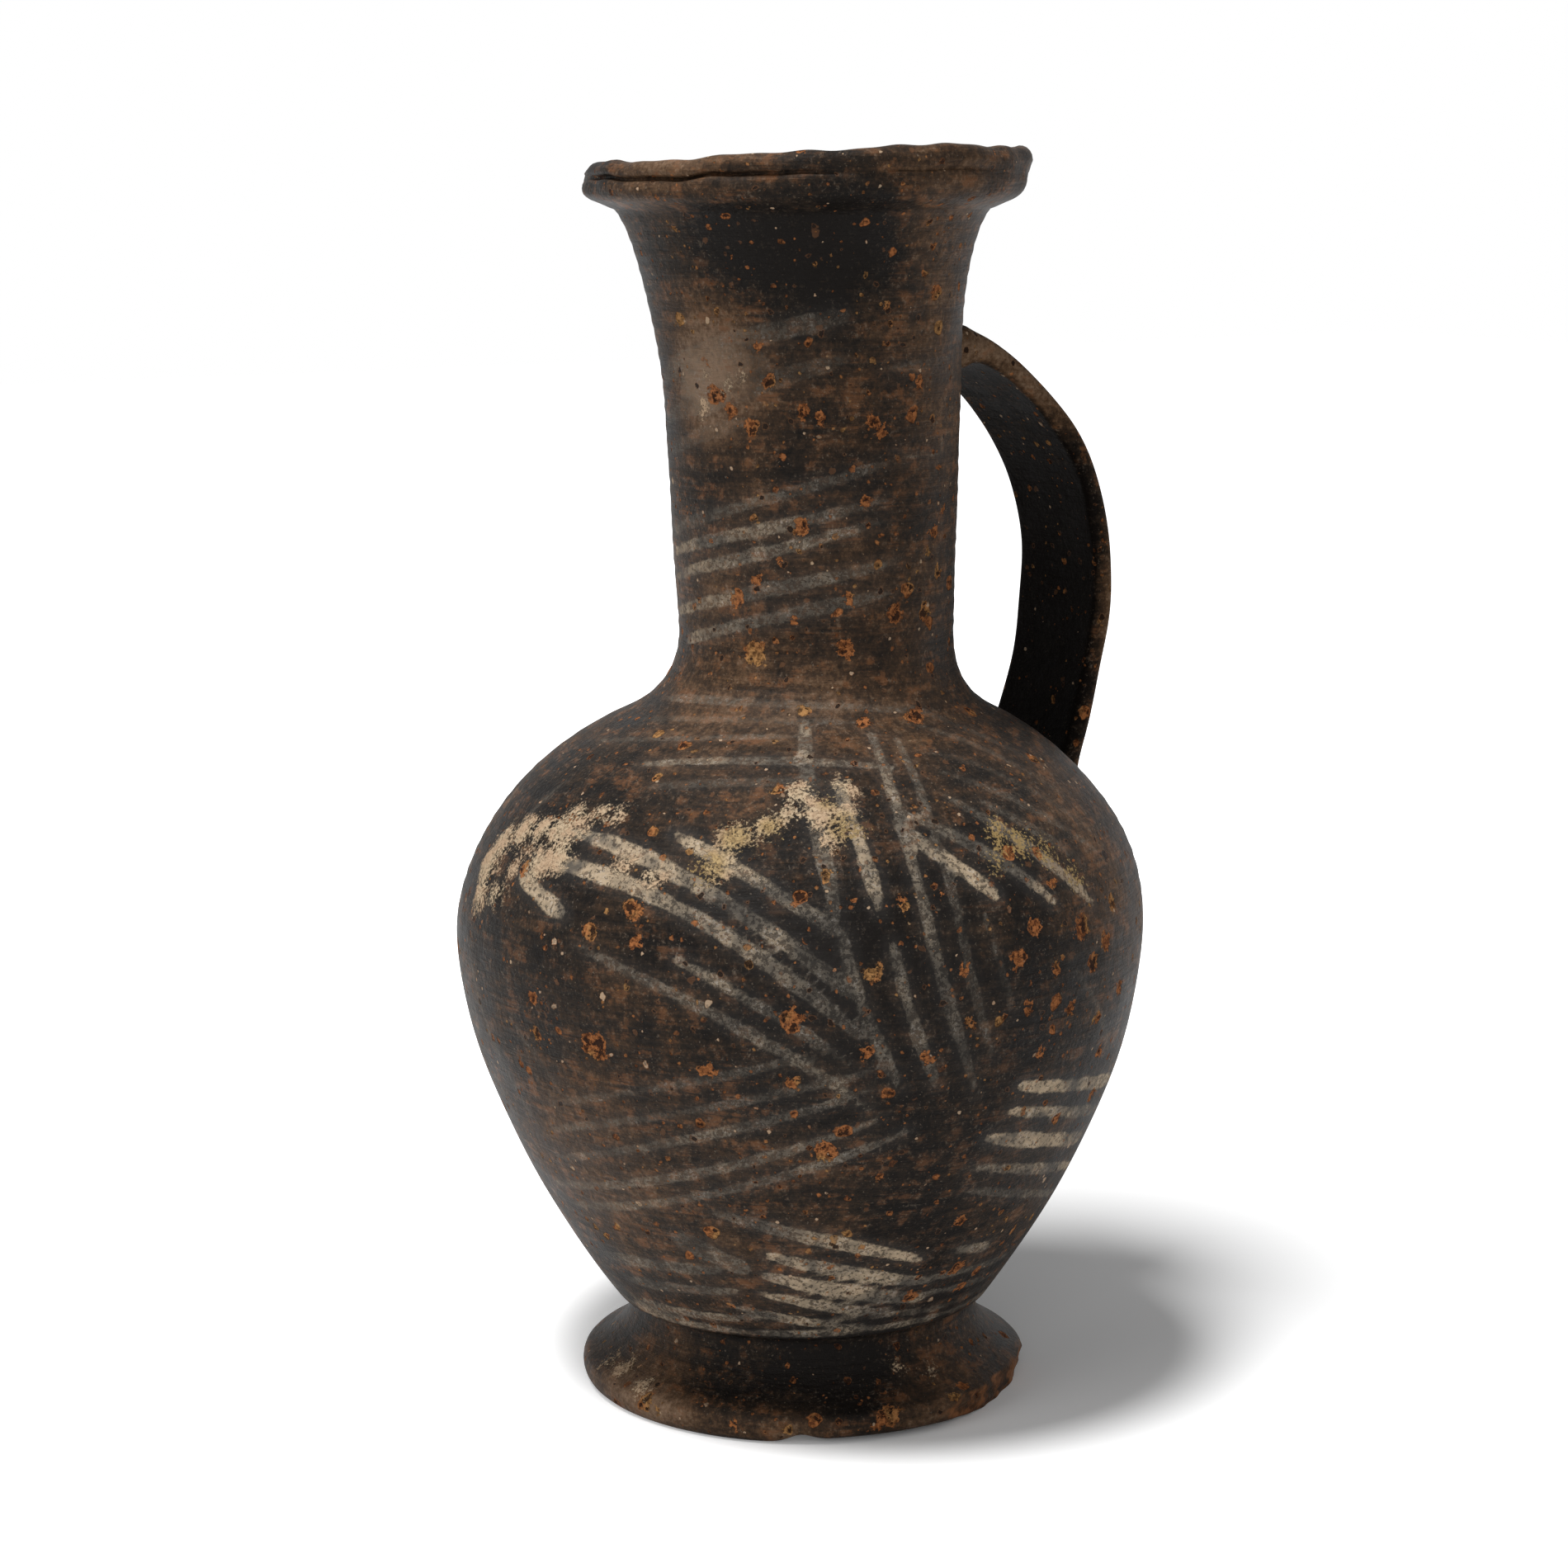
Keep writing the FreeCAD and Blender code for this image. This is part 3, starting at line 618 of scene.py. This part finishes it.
golden = mixed(edge(fine, 0.36, 0.62), deep_gold, bright_gold)
orange = mixed(edge(patchy, 0.50, 0.62), orange, golden)
orange_share = math_of("MULTIPLY", math_of("MAXIMUM", chosen, scatter), 0.90)
surface = mixed(orange_share, surface, orange)
deep_inside = math_of("MAXIMUM", edge(large, 0.04, 0.10), edge(small, 0.05, 0.11))
deep_inside = math_of("MAXIMUM", deep_inside, edge(fleck_depth, 0.6, 1.2))
hole = math_of("MULTIPLY", deep_inside, edge(grain, 0.52, 0.56))
hole_black, pit_black = (0.009, 0.005, 0.004, 1.0), (0.006, 0.004, 0.003, 1.0)
pit_rim, pale_grain = (0.120, 0.054, 0.025, 1.0), (0.340, 0.250, 0.170, 1.0)
surface = mixed(math_of("MULTIPLY", hole, 0.92), surface, hole_black)
pit = math_of("MULTIPLY", edge(prick, 0.04, 0.07), edge(prick_kind, 0.20, 0.25))
surface = mixed(math_of("MULTIPLY", edge(prick, -0.03, 0.03), 0.40), surface, pit_rim)
surface = mixed(math_of("MULTIPLY", pit, 0.9), surface, pit_black)
pale_tiny = math_of("MULTIPLY", edge(tiny, 0.02, 0.07), edge(tiny_kind, 0.88, 0.90))
pale_small = math_of("MULTIPLY", edge(small, 0.03, 0.08), edge(small_kind, 0.88, 0.90))
pale = math_of("MAXIMUM", pale_tiny, pale_small)
surface = mixed(math_of("MULTIPLY", pale, 0.75), surface, pale_grain)

# Bare clay on the broken edge of the foot
dark_core, red_clay = (0.040, 0.017, 0.008, 1.0), (0.230, 0.098, 0.040, 1.0)
bare = mixed(edge(clump, 0.35, 0.65), dark_core, red_clay)
surface = mixed(math_of("MULTIPLY", noted("broken"), edge(clump, 0.36, 0.52)), surface, bare)

# Soil crust over everything, grainy and full of pores, thinning out to single grains
loose = swayed(noted("crust"), clump, 11.0)
loose = swayed(loose, powder, 9.0)
crust_pores = math_of("MULTIPLY_ADD", edge(fine, 0.42, 0.32), -0.5, 1.0)
crust_cover = math_of("MULTIPLY", edge(loose, -0.6, 1.6), crust_pores)
yellow_depth = swayed(noted("yellow"), fine, 10.0)
yellow_depth = swayed(yellow_depth, powder, 16.0)
yellow_depth = swayed(yellow_depth, clump, 9.0)
yellow_cover = math_of("MULTIPLY", edge(yellow_depth, 1.2, 3.2), 0.75)
ochre_salt, pink_cream = (0.270, 0.185, 0.075, 1.0), (0.350, 0.225, 0.140, 1.0)
dull_ochre, light_ochre = (0.200, 0.130, 0.052, 1.0), (0.330, 0.235, 0.110, 1.0)
dull_cream, light_cream = (0.215, 0.155, 0.095, 1.0), (0.390, 0.300, 0.200, 1.0)
surface = mixed(yellow_cover, surface, ochre_salt)
cream = mixed(edge(powder, 0.30, 0.62), dull_cream, light_cream)
cream = mixed(math_of("MULTIPLY", edge(clump, 0.45, 0.60), 0.5), cream, pink_cream)
surface = mixed(crust_cover, surface, cream)
ochre = math_of("MULTIPLY", crust_cover, math_of("MULTIPLY", edge(noted("yellow"), -1.0, 2.0), 0.85))
surface = mixed(ochre, surface, mixed(edge(fine, 0.40, 0.60), dull_ochre, light_ochre))
links.new(surface, skin_shader.inputs["Base Color"])

# The rubbed slip has a dull shine, and paint, hollows and crust are dry
dry = math_of("MAXIMUM", math_of("MAXIMUM", crust_cover, orange_share), math_of("MULTIPLY", cover, 0.6))
gloss = math_of("MULTIPLY_ADD", patchy, 0.30, 0.40)
links.new(math_of("MULTIPLY_ADD", dry, 0.35, gloss, clamp=True), skin_shader.inputs["Roughness"])
skin_shader.inputs["Specular IOR Level"].default_value = 0.06

relief = math_of("MULTIPLY", grain, 0.30)
relief = math_of("MULTIPLY_ADD", wiped, 0.45, relief)
relief = math_of("MULTIPLY_ADD", patchy, 0.40, relief)
relief = math_of("MULTIPLY_ADD", fine, 0.16, relief)
relief = math_of("MULTIPLY_ADD", cover, 0.10, relief)
relief = math_of("MULTIPLY_ADD", math_of("MAXIMUM", scatter, chosen), -0.22, relief)
relief = math_of("MULTIPLY_ADD", math_of("MAXIMUM", hole, pit), -0.55, relief)
relief = math_of("MULTIPLY_ADD", math_of("MULTIPLY", crust_cover, fine), 0.60, relief)
bump = nodes.new("ShaderNodeBump")
bump.inputs["Distance"].default_value = 0.9 * mm
bump.inputs["Strength"].default_value = 1.0
links.new(relief, bump.inputs["Height"])
links.new(bump.outputs[0], skin_shader.inputs["Normal"])
pot.data.materials.append(clay)
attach(pot, "root")
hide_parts("jug")
strap_clay = clay.copy()

# The handle: a strap pulled from the same clay, pressed onto the neck and the shoulder while soft,
# with the clay of both ends smeared out over the wall.
strap_width, strap_thickness, strap_middle = 27.5, 4.4, -1.2
strap_line = drawn_through([(26.5, 210.2), (31.0, 210.3), (35.5, 209.4), (41.0, 206.6), (46.5, 202.6),
                            (52.0, 197.6), (57.4, 191.4), (61.6, 184.4), (64.6, 176.5), (66.3, 168.5),
                            (66.6, 160.5), (65.9, 152.0), (64.3, 143.5), (62.0, 135.0), (59.2, 127.0),
                            (55.0, 117.5)])
strap_step, root_length = 1.3, 4.0
strap_line = stepped(strap_line, strap_step)
strap_run = np.gradient(strap_line, axis=0)
strap_run /= np.linalg.norm(strap_run, axis=1)[:, None]
strap_columns = 72
strap_rows = []
strap_tone = []
length = len(strap_line)
flat = np.linspace(-1.0, 1.0, 26)
curl = np.linspace(0.5 * np.pi, -0.5 * np.pi, 12)[1:-1]
for index, ((out, high), (run_out, run_high)) in enumerate(zip(strap_line, strap_run)):
    from_root = min(index, length - 1 - index) * strap_step
    smear = math.exp(-max(0.0, from_root - root_length) / 3.0)
    half_width = strap_width / 2 * (1 + 0.10 * smear) + 0.25 * math.sin(0.21 * high) - 0.2
    half_depth = strap_thickness / 2 * (1 + 0.9 * smear) + 0.12 * math.sin(0.33 * high + 1.0)
    face = half_width - 0.8 * half_depth
    dish = 0.35 * (1 - flat**2)
    sideways = np.concatenate([face * flat, face + 0.8 * half_depth * np.cos(curl),
                               -face * flat, -face - 0.8 * half_depth * np.cos(curl)])
    through = np.concatenate([half_depth - dish, half_depth * np.sin(curl),
                              -half_depth + dish, -half_depth * np.sin(curl)])
    strap_rows.append(np.column_stack([out - run_high * through, strap_middle - sideways,
                                       high + run_out * through]))
    # Painted shade and painted highlight: the strap's inner face, towards the jug, is darkened, less so above a
    # height of 178, and both its edges are lightened
    inner = np.clip(0.5 - through / (2 * half_depth), 0.0, 1.0)
    rim = np.clip((np.abs(sideways) - face) / half_depth + 0.4, 0.0, 1.0)
    less_inner_shade = min(1.0, max(0.0, (high - 178.0) / 22.0))
    strap_tone.append(0.28 - (0.75 - 0.55 * less_inner_shade) * inner + 0.85 * rim * (0.7 + 0.3 * math.sin(0.13 * high)))
strap_points = np.vstack(strap_rows)
handle = closed_skin("jug_handle", strap_points, strap_columns)
far_outside = np.full(len(strap_points), -9.0)
for name in ("paint", "crust", "yellow", "fleck"):
    note(handle, name, far_outside)
for name in ("paint_strength", "broken"):
    note(handle, name, np.zeros(len(strap_points)))
note(handle, "tone", np.concatenate(strap_tone))
# The handle's material; the darkened inner face of the strap is painted shade
strap_clay.name = "strap_clay_painted_shade"
strap_clay.node_tree.nodes["Principled BSDF"].inputs["Specular IOR Level"].default_value = 0.01
handle.data.materials.append(strap_clay)
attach(handle, "root")
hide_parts("jug")

# The ground: a plain white sheet of paper under the jug. It keeps the jug's shadow, and away from
# the shadow it shines for the eye alone, so that it fades into the white behind.
sheet_size = 3.0
sheet_mesh = bpy.data.meshes.new("ground")
sheet_mesh.from_pydata([(-sheet_size, -sheet_size, 0), (sheet_size, -sheet_size, 0),
                        (sheet_size, sheet_size, 0), (-sheet_size, sheet_size, 0)], [], [(0, 1, 2, 3)])
ground = bpy.data.objects.new("ground", sheet_mesh)
bpy.context.scene.collection.objects.link(ground)
white = bpy.data.materials.new("white_sheet")
white.use_nodes = True
nodes, links = white.node_tree.nodes, white.node_tree.links
sheet_shader = nodes["Principled BSDF"]
sheet_shader.inputs["Base Color"].default_value = (0.90, 0.90, 0.90, 1.0)
sheet_shader.inputs["Roughness"].default_value = 1.0
sheet_shader.inputs["Specular IOR Level"].default_value = 0.0


# 1 where the camera, a reflection or clear glass looks straight at a thing, and 0 for the light it sheds
def looked_at():
    rays = nodes.new("ShaderNodeLightPath")
    seen = math_of("MAXIMUM", rays.outputs["Is Camera Ray"], rays.outputs["Is Glossy Ray"])
    return math_of("MAXIMUM", seen, rays.outputs["Is Transmission Ray"])


# How far a place on the ground lies from the middle of the shadow, which is longer than wide
shadow_middle, shadow_turn, shadow_length = (0.083, 0.016, 0.0), math.radians(-34.0), 1.6
shadow_place = nodes.new("ShaderNodeMapping")
shadow_place.vector_type = "TEXTURE"
links.new(nodes.new("ShaderNodeTexCoord").outputs["Object"], shadow_place.inputs["Vector"])
shadow_place.inputs["Location"].default_value = shadow_middle
shadow_place.inputs["Rotation"].default_value = (0.0, 0.0, shadow_turn)
shadow_place.inputs["Scale"].default_value = (1.0, shadow_length, 1.0)
from_shadow = nodes.new("ShaderNodeVectorMath")
from_shadow.operation = "LENGTH"
links.new(shadow_place.outputs[0], from_shadow.inputs[0])
far = edge(from_shadow.outputs["Value"], 0.07, 0.17)
sheet_shader.inputs["Emission Color"].default_value = (1.0, 1.0, 1.0, 1.0)
shine = math_of("MULTIPLY", looked_at(), math_of("MULTIPLY_ADD", far, 0.97, 0.03))
links.new(shine, sheet_shader.inputs["Emission Strength"])
sheet_mesh.materials.append(white)

# The studio around the jug: white walls, full white where they are looked at, which shed
# a plain soft level of light from all sides.
soft_level = 0.24
world = bpy.data.worlds.new("studio")
bpy.context.scene.world = world
world.use_nodes = True
nodes, links = world.node_tree.nodes, world.node_tree.links
sky = nodes["Background"]
sky.inputs["Color"].default_value = (1.0, 1.0, 1.0, 1.0)
links.new(math_of("MULTIPLY_ADD", looked_at(), 1.0 - soft_level, soft_level), sky.inputs["Strength"])


# The lamps: round soft boxes turned to the jug, the main one above and a little to the left,
# with weak ones from the left and the front
jug_middle = 0.12


def soft_box(name, place, size, power):
    lamp = bpy.data.lights.new(name, "AREA")
    lamp.shape = "DISK"
    lamp.size = size
    lamp.energy = power
    holder = bpy.data.objects.new(name, lamp)
    bpy.context.scene.collection.objects.link(holder)
    holder.location = place
    aim = holder.location.copy()
    aim.z -= jug_middle
    holder.rotation_euler = aim.to_track_quat("Z", "Y").to_euler()


soft_box("key_light", (-0.41, -0.115, 1.51), 0.40, 29.0)
soft_box("side_light", (-1.1, -0.1, 0.62), 0.7, 2.5)
soft_box("front_light", (-0.60, -1.10, 0.60), 0.9, 3.0)

# The camera stands as far off and as high as the one that took the photograph, looks down
# a little on the jug, and has a lens of about twice the normal length
camera_tilt, camera_turn = math.radians(90.0 - 10.2), math.radians(-34.0)
camera = bpy.data.objects.new("camera", bpy.data.cameras.new("camera"))
bpy.context.scene.collection.objects.link(camera)
camera.location = (-0.3968, -0.5826, 0.2499)
camera.rotation_euler = (camera_tilt, 0.0, camera_turn)
camera.data.sensor_width = 36.0
camera.data.lens = 81.56
camera.data.clip_start = 0.01
bpy.context.scene.camera = camera
